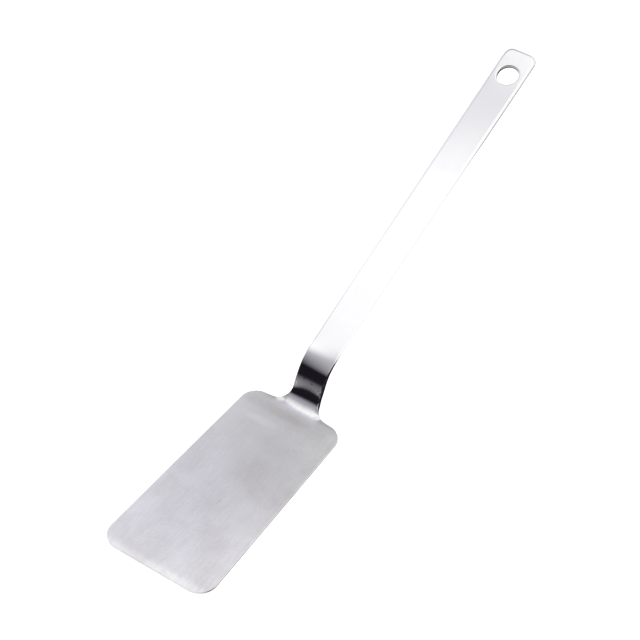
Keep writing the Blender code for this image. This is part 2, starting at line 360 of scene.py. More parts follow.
# %% Collect patches and make one closed mesh
class Plate:
    """A closed piece of the flat pattern, kept as grids of x, s, w and two masks."""

    def __init__(self):
        self.grids = []

    def add(self, x, s, w, edge=0.0, punched=0.0):
        """Keep one grid. edge is 0 on a face and 1 on a side, punched is 1 in the hole's wall."""
        self.grids.append(np.stack(np.broadcast_arrays(x, s, w, edge, punched), axis=-1))

    def build(self, name):
        """Bend every grid, join the grids into one mesh and weld their common borders."""
        flat = np.concatenate([grid.reshape(-1, grid.shape[-1]) for grid in self.grids])
        x, s, w = flat[:, 0], flat[:, 1], flat[:, 2]
        places = bend(x, s, w + waves(x, s))
        quads, first = [], 0
        for grid in self.grids:
            index = first + np.arange(grid.shape[0] * grid.shape[1]).reshape(grid.shape[:2])
            quads.append(np.stack([index[:-1, :-1], index[1:, :-1], index[1:, 1:], index[:-1, 1:]],
                                  axis=-1).reshape(-1, 4))
            first += index.size
        mesh = bpy.data.meshes.new(name)
        mesh.from_pydata(places, [], np.concatenate(quads))
        plan = mesh.attributes.new("plan", "FLOAT_VECTOR", "POINT")
        plan.data.foreach_set("vector", flat[:, :3].astype(np.float32).ravel())
        for column, label in ((3, "edge"), (4, "punched")):
            mask = mesh.attributes.new(label, "FLOAT", "POINT")
            mask.data.foreach_set("value", flat[:, column].astype(np.float32))
        return closed_object(name, mesh)


WELD_DISTANCE = 0.002 * MM
SMOOTH_BELOW = math.radians(32.0)


def closed_object(name, mesh):
    """Merge the doubled border points, turn all faces outwards and link the object."""
    work = bmesh.new()
    work.from_mesh(mesh)
    bmesh.ops.remove_doubles(work, verts=work.verts[:], dist=WELD_DISTANCE)
    bmesh.ops.recalc_face_normals(work, faces=work.faces[:])
    holes = sum(1 for edge in work.edges if not edge.is_manifold)
    work.to_mesh(mesh)
    work.free()
    mesh.shade_smooth()
    mesh.set_sharp_from_angle(angle=SMOOTH_BELOW)
    thing = bpy.data.objects.new(name, mesh)
    bpy.context.scene.collection.objects.link(thing)
    print(f"{name}: {len(mesh.vertices)} points, {len(mesh.polygons)} faces, open edges {holes}")
    return thing


print("border points closer than", round(WELD_DISTANCE / MM, 4), "mm become one")

# %% [markdown]
# ### Rows across the plate
# The stations run along one side of the plate. At each, the edge gives the rim on the left and on
# the right, and a straight row joins the two rims across the top, and another across the bottom.
# Near the weld the wall leans like the side of a groove, so a station's deeper points lie at
# another s. The rim may change from station to station too.


# %% The rims along both sides
def along_edge(stops, counts):
    """Places along the edge from stop to stop, each stretch with its own count, evenly spaced."""
    stretches = [np.linspace(start, end, count)[:-1]
                 for start, end, count in zip(stops[:-1], stops[1:], counts)]
    return np.concatenate([*stretches, stops[-1:]])


def side_rims(plate, run, thick, radius, roll, softness, lean=0.0, shape=None):
    """Add the rims along both sides, and return their grids of x, s and w.

    The point at depth w lies w times the lean further back along the edge.
    """
    run, thick, radius, roll, softness, lean = (
        np.broadcast_to(v, run.shape)[:, None] for v in (run, thick, radius, roll, softness, lean))
    inset, w, edge = rim_round(radius, roll, softness, thick)
    base_s = np.interp(run, edge_run, edge_points[:, 1])
    moved = np.where(lean == 0.0, run, on_side(base_s - w * lean))
    x, s = inset_point(moved, inset)
    if shape:
        w = shape(s, w, thick)
    for sign in (-1.0, 1.0):
        plate.add(sign * x, s, w, edge)
    return x, s, w


print("a rim has", len(TILTS_ROUND), "points from the top face to the bottom face")


# %% The faces and the ends
def faces_across(plate, rims, columns):
    """Add the top and the bottom face as straight rows from side to side."""
    for border in (0, -1):
        x, s, w = (grid[:, border, None] for grid in rims)
        plate.add(x * columns, s, w)


def wall_at(plate, rims, station, columns):
    """Close the plate at one station, between its upper and its lower half."""
    x, s, w = (grid[station] for grid in rims)
    half = len(TILTS)
    across = columns[1:-1]
    level = np.ones(len(across))
    rows = []
    for v, left, middle in ((x, -1.0, across), (s, 1.0, level), (w, 1.0, level)):
        upper = np.concatenate([left * v[:half][::-1], middle * v[0], v[:half]])
        lower = np.concatenate([left * v[half:], middle * v[-1], v[half:][::-1]])
        rows.append(np.stack([upper, lower]))
    plate.add(*rows)


def closed_end(plate, run, thick, radius, roll, softness, columns, shape=None):
    """Add the rim along a straight end of the plate, from its left corner to its right one."""
    inset, w, edge = rim_round(radius, roll, softness, thick)
    x, s = inset_point(run, inset)
    if shape:
        w = shape(s, w, thick)
    plate.add(columns[:, None] * x, s, w, edge)


print("a wall's rows have", 2 * len(TILTS) - 2, "points more than a face's rows")

# %% [markdown]
# ## The blade
# On the real turner the blade is a stamped sheet with deburred edges. Its stations lie close where
# the outline or the surface curves, at both corners and at the foot, and far apart between.

# %% The blade's stations and rims
BLADE_RIM = dict(roll=0.12, softness=0.04)
FRONT_RIM = dict(roll=0.03, softness=0.04)
WELD_RIM = dict(roll=0.06, softness=0.04)
BLADE_RIM_RADIUS = 0.35
FRONT_RIM_RADIUS = 0.05
SEAM_RIM_RADIUS = 0.2
FRONT_RIM_REACH = (3.0, 14.0)
BLADE_TOP_END = SEAM - SEAM_WIDTH / 2.0
LEAN_REACH = 5.0
LAST_BIT = 0.4
FRONT_CORNERS_END, REAR_CORNERS_START = -108.0, -9.0
BLADE_COUNTS = (60, 80, 120, 6)


def between(share, first, last):
    """The values of a dictionary, a share of the way from those of first to those of last."""
    return {key: first[key] + (last[key] - first[key]) * share for key in first}


blade_stops = on_side(np.array([-BLADE_LENGTH + HAIR, FRONT_CORNERS_END, REAR_CORNERS_START,
                                BLADE_TOP_END - LAST_BIT, BLADE_TOP_END]))
blade_run = along_edge(blade_stops, BLADE_COUNTS)
blade_s = np.interp(blade_run, edge_run, edge_points[:, 1])
near_seam = np.clip((blade_s - BLADE_TOP_END) / LEAN_REACH + 1.0, 0.0, 1.0)
behind_front = smooth(blade_s + BLADE_LENGTH, *FRONT_RIM_REACH)
blade_radius = FRONT_RIM_RADIUS + (BLADE_RIM_RADIUS - FRONT_RIM_RADIUS) * behind_front
blade_radius = blade_radius + (SEAM_RIM_RADIUS - BLADE_RIM_RADIUS) * near_seam
blade_roll = between(near_seam, between(behind_front, FRONT_RIM, BLADE_RIM), WELD_RIM)

print("stations along the blade:", len(blade_run))

# %% Build the blade
BLADE_COLUMNS = np.linspace(-1.0, 1.0, 73)

blade_plate = Plate()
rims = side_rims(blade_plate, blade_run, SHEET, blade_radius, lean=-GROOVE_LEAN * near_seam,
                 shape=ground, **blade_roll)
faces_across(blade_plate, rims, BLADE_COLUMNS)
closed_end(blade_plate, blade_run[0], SHEET, FRONT_RIM_RADIUS, columns=BLADE_COLUMNS,
           shape=ground, **FRONT_RIM)
wall_at(blade_plate, rims, -1, BLADE_COLUMNS)
blade = blade_plate.build("satin_blade")

# %% [markdown]
# ## The weld
# Weld metal fills the groove between sheet and bar. It was ground flush on top, and below it ramps
# from the thin sheet down to the thick bar. It is the same kind of plate, only very short, and its
# walls lean apart.

# %% Build the weld
BAR_RIM_RADIUS_AT_SEAM = 0.25
WELD_STATIONS = 13

weld_share = np.linspace(0.0, 1.0, WELD_STATIONS)
weld_s = BLADE_TOP_END + SEAM_WIDTH * weld_share
weld_radius = SEAM_RIM_RADIUS + (BAR_RIM_RADIUS_AT_SEAM - SEAM_RIM_RADIUS) * weld_share

weld_plate = Plate()
rims = side_rims(weld_plate, on_side(weld_s), SHEET + (BAR - SHEET) * weld_share, weld_radius,
                 lean=GROOVE_LEAN * (2.0 * weld_share - 1.0), **WELD_RIM)
faces_across(weld_plate, rims, BLADE_COLUMNS)
for end in (0, -1):
    wall_at(weld_plate, rims, end, BLADE_COLUMNS)
weld = weld_plate.build("blended_weld")

# %% [markdown]
# ## The handle
# The bar is thick, with well rounded edges. Around the hanging hole the rows stop at the hole's
# rounded rim: at each station there, the row starts where a circle of the rim's outer radius is.

# %% The handle's stations and rims
RIM_GROWS = (12.0, 34.0)
END_ROLL = dict(roll=1.0, softness=0.16)
END_ROLL_REACH = (236.0, 243.0)
HOLE_ROLL = dict(radius=0.8, roll=0.35, softness=0.10)
NECK_END, END_CORNER = 42.0, 5.3
FRONT_COUNTS, END_COUNTS = (6, 150, 90), (12, 44)
HOLE_POINTS = 73
HANDLE_TOP_START = SEAM + SEAM_WIDTH / 2.0

hole_reach = HOLE_RADIUS + float(rim(0.0, **HOLE_ROLL)[0])
hole_angle = np.linspace(0.0, math.pi, HOLE_POINTS)
hole_s = HOLE_CENTRE - hole_reach * np.cos(hole_angle)
hole_run = on_side(hole_s, BAR_RIM_RADIUS + BAR_ROLL["roll"])
front_stops = on_side(np.array([HANDLE_TOP_START, HANDLE_TOP_START + LAST_BIT, NECK_END]))
end_stops = on_side(np.array([HANDLE_END - END_CORNER, HANDLE_END - HAIR]))
handle_run = np.concatenate([
    along_edge(np.append(front_stops, hole_run[0]), FRONT_COUNTS)[:-1], hole_run,
    along_edge(np.append(hole_run[-1], end_stops), END_COUNTS)[1:]])
handle_s = np.interp(handle_run, edge_run, edge_points[:, 1])
past_seam = np.clip((handle_s - HANDLE_TOP_START) / LEAN_REACH, 0.0, 1.0)
grown = smooth(handle_s, *RIM_GROWS)
handle_radius = BAR_RIM_RADIUS_AT_SEAM + (BAR_RIM_RADIUS - BAR_RIM_RADIUS_AT_SEAM) * grown
at_end = smooth(handle_s, *END_ROLL_REACH)
handle_roll = between(at_end, between(grown, WELD_RIM, BAR_ROLL), END_ROLL)

print("stations along the handle:", len(handle_run))

# %% Build the handle
HANDLE_COLUMNS = np.linspace(0.0, 1.0, 25)
PUNCHED_FROM = 0.85

handle_plate = Plate()
rims = side_rims(handle_plate, handle_run, BAR, handle_radius,
                 lean=GROOVE_LEAN * (1.0 - past_seam), **handle_roll)
for border in (0, -1):
    x, s, w = (grid[:, border, None] for grid in rims)
    off_hole = s - HOLE_CENTRE
    inner = np.sqrt(np.clip(hole_reach ** 2 - off_hole ** 2, 0.0, None))
    inner = np.where(np.abs(off_hole) > hole_reach - HAIR, 0.0, inner)
    row = inner + (x - inner) * HANDLE_COLUMNS
    for sign in (-1.0, 1.0):
        handle_plate.add(sign * row, s, w)
both_ways = np.concatenate([-HANDLE_COLUMNS[:0:-1], HANDLE_COLUMNS])
closed_end(handle_plate, handle_run[-1], BAR, BAR_RIM_RADIUS, columns=both_ways, **END_ROLL)
wall_at(handle_plate, rims, 0, both_ways)

inset, tube_w, tube_edge = rim_round(thick=BAR, **HOLE_ROLL)
tube_radius = HOLE_RADIUS + inset
punched = np.clip((tube_edge - PUNCHED_FROM) / (1.0 - PUNCHED_FROM), 0.0, 1.0)
for sign in (-1.0, 1.0):
    handle_plate.add(sign * tube_radius * np.sin(hole_angle)[:, None],
                     HOLE_CENTRE - tube_radius * np.cos(hole_angle)[:, None],
                     tube_w, tube_edge, punched)
handle = handle_plate.build("polished_handle")

# %% [markdown]
# ## Each new piece takes its node's place
# The frame's own nodes are hidden, and each new piece stands for one of them. A turner has no
# joint, so all three ride on the one body.

# %% Hand the pieces to the frame
WORN_BY = {
    "blade": (blade, "blade_steel"),
    "neck_weld": (weld, "weld_steel"),
    "handle": (handle, "handle_steel"),
}
for node_name, (piece, slot_name) in WORN_BY.items():
    node_low, node_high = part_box(node_name)
    places = np.empty(len(piece.data.vertices) * 3, np.float32)
    piece.data.vertices.foreach_get("co", places)
    places = places.reshape(-1, 3)
    off = np.concatenate([places.min(0) - node_low, places.max(0) - node_high])
    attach(piece, "root")
    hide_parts(node_name)
    print(node_name, "differs from its node by mm:", np.round(off / MM, 2))

# %% [markdown]
# ## Shader nodes by script
# A material is a small graph of nodes. A few helpers keep it readable: one adds a node and fills or
# links its inputs, and the others make the sums and the smooth steps that come up again and again.
# Every mark on the metal is a node group, which is a graph with its own inputs and outputs that
# several materials can use with their own values.


# %% Helpers that add and join nodes
def put(tree, kind, wires=None, **options):
    """Add a node, set its options, and fill each input with a value or link it to a socket."""
    made = tree.nodes.new(kind)
    for option, value in options.items():
        setattr(made, option, value)
    for name, value in (wires or {}).items():
        if isinstance(value, bpy.types.NodeSocket):
            tree.links.new(value, made.inputs[name])
        else:
            made.inputs[name].default_value = value
    return made


def math_of(tree, operation, first, second=0.0, clamp=False):
    """The result of one Math node."""
    return put(tree, "ShaderNodeMath", {0: first, 1: second},
               operation=operation, use_clamp=clamp).outputs[0]


def vector_of(tree, operation, first, second):
    """The result of one Vector Math node."""
    return put(tree, "ShaderNodeVectorMath", {0: first, 1: second}, operation=operation).outputs[0]


def product(tree, first, *others):
    """The sockets or numbers multiplied with each other."""
    for other in others:
        first = math_of(tree, "MULTIPLY", first, other)
    return first


def sum_of(tree, total, *terms):
    """The total plus each term, which is a pair: a socket and the amount it is multiplied by."""
    for socket, amount in terms:
        total = math_of(tree, "ADD", total, product(tree, socket, amount))
    return total


def noise(tree, vector, **settings):
    """The value of a noise texture with those settings."""
    wires = {label.capitalize(): value for label, value in settings.items()}
    return put(tree, "ShaderNodeTexNoise", {"Vector": vector, **wires}).outputs["Fac"]


print("shader nodes to choose from:", sum(n.startswith("ShaderNode") for n in dir(bpy.types)))


# %% Helpers that blend
def blend_from(tree, value, low, high, to_low=0.0, to_high=1.0):
    """A smooth step: value from low to high becomes to_low to to_high."""
    wires = {"Value": value, "From Min": low, "From Max": high, "To Min": to_low, "To Max": to_high}
    return put(tree, "ShaderNodeMapRange", wires, interpolation_type="SMOOTHSTEP").outputs["Result"]


def rise(tree, value, places):
    """A smooth step from 0 at the first place up to 1 at the second."""
    return blend_from(tree, value, *places)


def fall(tree, value, places):
    """A smooth step from 1 at the first place down to 0 at the second."""
    return blend_from(tree, value, *places, 1.0, 0.0)


def mix(tree, factor, first, second):
    """The colour between first and second, each a socket or three numbers."""
    mixed = put(tree, "ShaderNodeMix", {"Factor": factor}, data_type="RGBA")
    for name, colour in (("A", first), ("B", second)):
        if isinstance(colour, bpy.types.NodeSocket):
            tree.links.new(colour, mixed.inputs[name])
        else:
            mixed.inputs[name].default_value = (*colour, 1.0)
    return mixed.outputs["Result"]


print("a quarter of the way, a smooth step is at", round(smooth(0.25, 0.0, 1.0), 3))


# %% Helpers for node groups
def start_group(name, inputs, outputs):
    """An empty group. An input of None takes a vector, and all other sockets are numbers."""
    group = bpy.data.node_groups.new(name, "ShaderNodeTree")
    for label, value in inputs.items():
        kind = "NodeSocketVector" if value is None else "NodeSocketFloat"
        socket = group.interface.new_socket(label, in_out="INPUT", socket_type=kind)
        if value is not None:
            socket.default_value = value
    for label in outputs:
        group.interface.new_socket(label, in_out="OUTPUT", socket_type="NodeSocketFloat")
    return group, put(group, "NodeGroupInput").outputs, put(group, "NodeGroupOutput").inputs


def finish_group(group, wanted, **sockets):
    """Link the sockets to the group's outputs of the same names."""
    for label, socket in sockets.items():
        group.links.new(socket, wanted[label.capitalize()])
    print("group", group.name, "gives", ", ".join(sockets))


# %% [markdown]
# ### Brushed lines
# A satin finish is thousands of parallel hairlines left by an abrasive belt. A noise that is
# squeezed across the belt's direction and stretched along it gives them, and the same noise, wider
# and longer, gives broad streaks. It reads the flat pattern's coordinates from the mesh, so that
# the lines follow the metal through both bends.

# %% Node group: brushed lines
STREAKS_TO_LINES = (0.16, 0.45, 0.16)
STREAK_CONTRAST = (0.32, 0.68)

lines_group, given, wanted = start_group(
    "brushed_lines", {"Plan": None, "Lines per mm": 4.0, "Line length": 12.0}, ("Fine", "Broad"))
run_along = math_of(lines_group, "DIVIDE", 1.0, given["Line length"])
stretch = put(lines_group, "ShaderNodeCombineXYZ", {
    "X": given["Lines per mm"], "Y": run_along, "Z": given["Lines per mm"]})
squeezed = vector_of(lines_group, "MULTIPLY", given["Plan"], stretch.outputs[0])
fine = noise(lines_group, squeezed, scale=1.0, detail=3.0, roughness=0.65)
wider = vector_of(lines_group, "MULTIPLY", squeezed, STREAKS_TO_LINES)
broad = noise(lines_group, wider, scale=1.0, detail=4.0, roughness=0.6)
finish_group(lines_group, wanted, fine=fine, broad=rise(lines_group, broad, STREAK_CONTRAST))

# %% [markdown]
# ### Haze
# Handled and wiped steel is never evenly bright. Slow clouds change its roughness and its colour a
# little, and specks of about a millimetre break the colour up further.

# %% Node group: haze
HAZE_CONTRAST = (0.3, 0.7)
SPECKS_PER_MM = 0.9

haze_group, given, wanted = start_group(
    "wiped_haze", {"Plan": None, "Cloud size": 20.0}, ("Haze", "Specks"))
shrink = math_of(haze_group, "DIVIDE", 1.0, given["Cloud size"])
clouds = noise(haze_group, given["Plan"], scale=shrink, detail=4.0, roughness=0.55, distortion=0.4)
specks = noise(haze_group, given["Plan"], scale=SPECKS_PER_MM, detail=2.0)
finish_group(haze_group, wanted, haze=rise(haze_group, clouds, HAZE_CONTRAST),
             specks=rise(haze_group, specks, HAZE_CONTRAST))

# %% [markdown]
# ### Scratches and pits
# Use leaves a few fine scratches in any direction, and polishing leaves small pits where it met a
# flaw. A scratch is the thin ridge where a stretched noise crosses its middle value, cut short by a
# second noise. A pit is the middle of a cell of a Voronoi pattern, in a few cells only.

# %% Node group: scratches and pits
SCRATCH_SETS = ((0.7, 0.55, 3.0), (-1.1, 0.8, 11.0), (1.9, 0.42, 23.0))  # turn, density, shift
SCRATCH_STRETCH = 0.04
RIDGE_HALF_WIDTH = 0.012
SCRATCHED_PLACES_PER_MM, SCRATCHED_CONTRAST = 0.09, (0.56, 0.66)
PIT_EDGE = (0.05, 0.16)

wear_group, given, wanted = start_group(
    "wear_marks", {"Plan": None, "Amount": 0.5, "Pits per mm": 0.5, "Pitted share": 0.3},
    ("Scratch", "Pit"))
scratch = 0.0
for turn, density, shift in SCRATCH_SETS:
    turned = put(wear_group, "ShaderNodeMapping", {
        "Vector": given["Plan"], "Location": (shift, shift, 0.0), "Rotation": (0.0, 0.0, turn)})
    pulled = vector_of(wear_group, "MULTIPLY", turned.outputs[0],
                       (density, density * SCRATCH_STRETCH, density))
    ridge = math_of(wear_group, "SUBTRACT", noise(wear_group, pulled, scale=1.0, detail=1.0), 0.5)
    thin = fall(wear_group, math_of(wear_group, "ABSOLUTE", ridge), (0.0, RIDGE_HALF_WIDTH))
    where = noise(wear_group, turned.outputs[0], scale=SCRATCHED_PLACES_PER_MM, detail=2.0)
    short = product(wear_group, thin, rise(wear_group, where, SCRATCHED_CONTRAST))
    scratch = math_of(wear_group, "MAXIMUM", scratch, short)
cells = put(wear_group, "ShaderNodeTexVoronoi", {
    "Vector": given["Plan"], "Scale": given["Pits per mm"], "Randomness": 1.0}).outputs
cell_lot = put(wear_group, "ShaderNodeSeparateColor", {"Color": cells["Color"]}).outputs["Red"]
chosen = math_of(wear_group, "LESS_THAN", cell_lot, given["Pitted share"])
pit = product(wear_group, fall(wear_group, cells["Distance"], PIT_EDGE), chosen)
finish_group(wear_group, wanted, scratch=product(wear_group, scratch, given["Amount"]),
             pit=product(wear_group, pit, given["Amount"]))

# %% [markdown]
# ### Patches
# Soft ovals make the steel darker or lighter in places: a large darker patch on the blade, a band
# of painted shade along the blade's rear, lighter patches near the rear that are painted
# highlights, a thin dark scratch, and five dark spots on the neck that are painted dark
# reflections.
# Each is an oval with a place and a reach in the flat pattern, and an amount: above zero it is
# darker, below zero lighter.

# %% Node group: ovals of painted shading and marks
# Place (x, s), reach and amount of each oval: painted shade and highlights, and marks.
PATCHES = (
    ((16.0, -44.0), (34.0, 20.0), 0.06),
    ((-10.0, -4.0), (30.0, 4.5), 0.10),
    ((6.0, -14.0), (36.0, 9.0), -0.06),
    ((-11.0, -13.5), (13.0, 3.5), -0.09),
    ((27.0, -5.0), (6.0, 7.0), -0.08),
    ((2.0, -12.7), (0.8, 0.8), -0.12),
    ((2.7, -69.6), (0.5, 3.2), 0.16),
    ((-3.4, 20.3), (0.7, 0.9), 0.75),
    ((1.6, 19.1), (0.9, 0.6), 0.70),
    ((6.6, 17.4), (0.6, 0.6), 0.60),
    ((8.0, 16.0), (0.8, 0.9), 0.85),
    ((7.6, 14.6), (1.1, 0.5), 0.80),
)
PATCH_EDGE = (0.25, 1.0)

patch_group, given, wanted = start_group("painted_shading_ovals", {"Plan": None}, ("Dull",))
dull = 0.0
for (patch_x, patch_s), (reach_x, reach_s), amount in PATCHES:
    moved = vector_of(patch_group, "SUBTRACT", given["Plan"], (patch_x, patch_s, 0.0))
    scaled = vector_of(patch_group, "MULTIPLY", moved, (1.0 / reach_x, 1.0 / reach_s, 0.0))
    away = put(patch_group, "ShaderNodeVectorMath", {0: scaled}, operation="LENGTH")
    oval = blend_from(patch_group, away.outputs["Value"], *PATCH_EDGE, amount, 0.0)
    dull = math_of(patch_group, "ADD", dull, oval)
finish_group(patch_group, wanted, dull=dull)
print("patches and spots:", len(PATCHES))

# %% [markdown]
# ## Three steels
# All three are the same metal with a different last step: the blade is belt-brushed, the weld is
# ground and blended, and the handle is polished. The finish changes from satin to polish across the
# foot, so every material reads the station s and turns smoother there. The blade's sides were only
# deburred, and every piece's sides are rougher than its faces; their colour is darkened as painted
# shade. The hole's wall is rough as the punch left it, and darkened as painted shade inside the
# hole. The pits show on the neck alone, where the polish is best.

# %% What the steels share: places, and how strongly each mark acts
POLISH_RISES = (0.0, 5.0)
NECK_RISES, NECK_FALLS = (4.0, 12.0), (26.0, 60.0)
PITS_FALL = (24.0, 36.0)
GROUND_FALLS = (1.0 - BLADE_LENGTH, 6.0 - BLADE_LENGTH)
SIDE_RISES = (0.62, 0.95)  # shares of the quarter turn from face to side
# The dark colour that real tone changes and painted shade both turn the steel towards.
TARNISH_AND_PAINTED_SHADE = (0.12, 0.10, 0.08)
GROUND_SHINE, NECK_SHINE = -0.08, -0.06
HAZE_ROUGHNESS, STREAK_ROUGHNESS, SCRATCH_ROUGHNESS, SIDE_ROUGHNESS = 0.03, 0.25, 0.15, 0.08
# The hole's wall is rough, and its colour is darkened as painted shade inside the hole.
PUNCHED_ROUGHNESS, HOLE_WALL_SHADE = 0.42, 0.85
SPECKS_IN_SATIN, SPECKS_IN_POLISH = 0.22, 0.15
# The second number below caps the sides' painted shade where the steel is polished.
PIT_DARKNESS, POLISHED_SIDE_SHADE = 0.9, 0.2
SCRATCH_DEPTH, PIT_DEPTH = 0.8, 4.0  # times the relief of the brushed lines
RELIEF = 0.006 * MM
print("a pit is", round(PIT_DEPTH * RELIEF / MM, 3), "mm deep")


# %% A steel with a finish that changes along the turner
def steel(name, colour, satin, polish, lines, streaks, haze_size, haze, wear, pits, line_height,
          dull_side):
    """Make the material. satin and polish are the roughness before and after the foot bend."""
    material = bpy.data.materials.new(name)
    material.use_nodes = True
    tree = material.node_tree
    tree.nodes.clear()
    plan = put(tree, "ShaderNodeAttribute", attribute_name="plan").outputs["Vector"]
    edge = put(tree, "ShaderNodeAttribute", attribute_name="edge").outputs["Fac"]
    punched_wall = put(tree, "ShaderNodeAttribute", attribute_name="punched").outputs["Fac"]
    station = put(tree, "ShaderNodeSeparateXYZ", {"Vector": plan}).outputs["Y"]

    mark = {}
    for group, values in (
            (lines_group, {"Lines per mm": lines[0], "Line length": lines[1]}),
            (haze_group, {"Cloud size": haze_size}),
            (wear_group, {"Amount": wear, "Pits per mm": pits[0], "Pitted share": pits[1]}),
            (patch_group, {})):
        placed = put(tree, "ShaderNodeGroup", node_tree=group)
        for label, value in values.items():
            placed.inputs[label].default_value = value
        tree.links.new(plan, placed.inputs["Plan"])
        mark.update({socket.name: socket for socket in placed.outputs})

    polished = rise(tree, station, POLISH_RISES)
    on_neck = product(tree, rise(tree, station, NECK_RISES), fall(tree, station, NECK_FALLS))
    ground_front = fall(tree, station, GROUND_FALLS)
    side = product(tree, rise(tree, edge, SIDE_RISES),
                   math_of(tree, "SUBTRACT", 1.0, ground_front))
    pit = product(tree, mark["Pit"], on_neck, fall(tree, station, PITS_FALL))

    rough = sum_of(
        tree, blend_from(tree, polished, 0.0, 1.0, satin, polish),
        (ground_front, GROUND_SHINE), (on_neck, NECK_SHINE), (mark["Haze"], HAZE_ROUGHNESS),
        (mark["Broad"], streaks * STREAK_ROUGHNESS), (mark["Scratch"], SCRATCH_ROUGHNESS),
        (side, SIDE_ROUGHNESS))
    rough = math_of(tree, "MAXIMUM", rough, product(tree, punched_wall, PUNCHED_ROUGHNESS))

    specks_share = blend_from(
        tree, polished, 0.0, 1.0, haze * SPECKS_IN_SATIN, haze * SPECKS_IN_POLISH)
    # The sides' colour is darkened as painted shade, less where the steel is polished.
    side_share = blend_from(
        tree, polished, 0.0, 1.0, dull_side, min(dull_side, POLISHED_SIDE_SHADE))
    # The colour darkens with real tone changes (streaks, haze, specks, pits) and with painted shade
    # and highlights (the ovals and the sides).
    darker = sum_of(
        tree, mark["Dull"], (mark["Broad"], streaks), (mark["Haze"], haze),
        (mark["Specks"], specks_share), (pit, PIT_DARKNESS), (side, side_share))
    # The hole's wall is darkened as painted shade inside the hole.
    darker = math_of(
        tree, "ADD", darker, product(tree, punched_wall, HOLE_WALL_SHADE), clamp=True)

    line_share = blend_from(tree, polished, 0.0, 1.0, 1.0, line_height)
    height = sum_of(tree, product(tree, mark["Fine"], line_share),
                    (mark["Scratch"], -SCRATCH_DEPTH), (pit, -PIT_DEPTH))
    bump = put(tree, "ShaderNodeBump", {"Height": height, "Strength": 1.0, "Distance": RELIEF})

    shader = put(tree, "ShaderNodeBsdfPrincipled", {
        "Metallic": 1.0, "Base Color": mix(tree, darker, colour, TARNISH_AND_PAINTED_SHADE),
        "Roughness": rough, "Normal": bump.outputs["Normal"]})
    put(tree, "ShaderNodeOutputMaterial", {"Surface": shader.outputs[0]})
    return material


print("marks that a steel combines:", ", ".join(bpy.data.node_groups.keys()))

# %% Make the three steels
satin_steel = steel(
    "satin_steel", (0.780, 0.775, 0.786), satin=0.21, polish=0.11, lines=(4.5, 7.0), streaks=0.06,
    haze_size=22.0, haze=0.17, wear=0.25, pits=(0.5, 0.2), line_height=0.25, dull_side=0.70)
blended_steel = steel(
    "blended_steel", (0.815, 0.81, 0.83), satin=0.20, polish=0.11, lines=(6.0, 5.0), streaks=0.04,
    haze_size=9.0, haze=0.07, wear=0.6, pits=(0.5, 0.2), line_height=0.25, dull_side=0.20)
polished_steel = steel(
    "polished_steel", (0.845, 0.845, 0.855), satin=0.20, polish=0.115, lines=(5.0, 20.0),
    streaks=0.012, haze_size=26.0, haze=0.04, wear=0.45, pits=(0.26, 0.3), line_height=0.15,
    dull_side=0.05)
for piece, finish in ((blade, satin_steel), (weld, blended_steel), (handle, polished_steel)):
    piece.data.materials.clear()
    piece.data.materials.append(finish)
    print(piece.name, "wears", finish.name)

# %% [markdown]
# ## The studio
# Polished steel has hardly a colour of its own: it shows the room. A wide softbox hangs close above
# the turner and dims to the front and to the back, and low in front the room is dark, which makes
# the dark bands in the neck. A softbox that is this close gives the blade its soft gradient, which
# a distant sky can't. Each part of the light is one smooth step between two plain levels, like the
# feathered edge of a real diffuser. The levels and places were chosen by comparing renders.


# %% A level sheet of the stage
def level_sheet(name, x_range, y_range, height):
    """A level rectangle, with a material whose node tree is still empty."""
    corners = [(x_range[i], y_range[j], height) for i, j in ((0, 0), (1, 0), (1, 1), (0, 1))]
    mesh = bpy.data.meshes.new(name)
    mesh.from_pydata(corners, [], [(0, 1, 2, 3)])
    material = bpy.data.materials.new(name)
    material.use_nodes = True
    material.node_tree.nodes.clear()
    mesh.materials.append(material)
    sheet = bpy.data.objects.new(name, mesh)
    bpy.context.scene.collection.objects.link(sheet)
    return sheet, material.node_tree


def glowing_card(name, x_range, y_range, height, colour_of):
    """A level card that reflections see and the camera doesn't. colour_of paints its glow."""
    card, tree = level_sheet(name, x_range, y_range, height)
    places = put(tree, "ShaderNodeTexCoord").outputs["Object"]
    axes = put(tree, "ShaderNodeSeparateXYZ", {"Vector": places}).outputs
    glow = put(tree, "ShaderNodeEmission", {"Color": colour_of(tree, axes)})
    put(tree, "ShaderNodeOutputMaterial", {"Surface": glow.outputs[0]})
    card.visible_camera = False
    card.visible_shadow = False
    print(name, "at", height, "m")
    return card


# %% [markdown]
# ### The softbox above
# Its places are in metres. The right part is the lamp, with a dimmer seam across it and a dimmer
# strip behind. The left part begins at a slanted line: it is the lamp in front, then a dimmer
# diffuser, then the back of the room, and the lamp again far behind. The far left is dimmer in
# front. To the front everything fades into the unlit room.

# %% Levels and places of the softbox
LAMP = (1.25, 1.245, 1.255)
DIM_DIFFUSER = (0.66, 0.645, 0.70)
UNLIT = (0.012, 0.009, 0.015)
LEFT_DIFFUSER = (0.65, 0.64, 0.775)
BACK_OF_ROOM = (0.46, 0.455, 0.465)
BEHIND_THE_LAMP = (0.78, 0.75, 0.77)
FAR_LEFT = (0.66, 0.65, 0.70)
SEAM_IN_DIFFUSER = (0.88, 0.87, 0.90)
SOFTBOX_HEIGHT = 0.47
SOFTBOX_X, SOFTBOX_Y = (-0.9, 0.9), (-1.3, 0.9)

DIM_RISES, LAMP_RISES = (-0.75, 0.05), (-0.17, 0.16)
SEAM_RISES, SEAM_FALLS, SEAM_SIDE = (0.205, 0.31), (0.297, 0.322), (-0.10, -0.06)
BEHIND_RISES, LAMP_RETURNS = (0.385, 0.44), (0.52, 0.62)
LEFT_LEAN, LEFT_FALLS = -0.30, (-0.285, -0.260)
LEFT_DIMS = (0.13, 0.22)
BACK_LEAN, BACK_RISES = 0.8, (0.083, 0.158)
FAR_LEFT_ENDS, FAR_LEFT_LIGHTENS = (-0.36, -0.27), (0.10, 0.22)


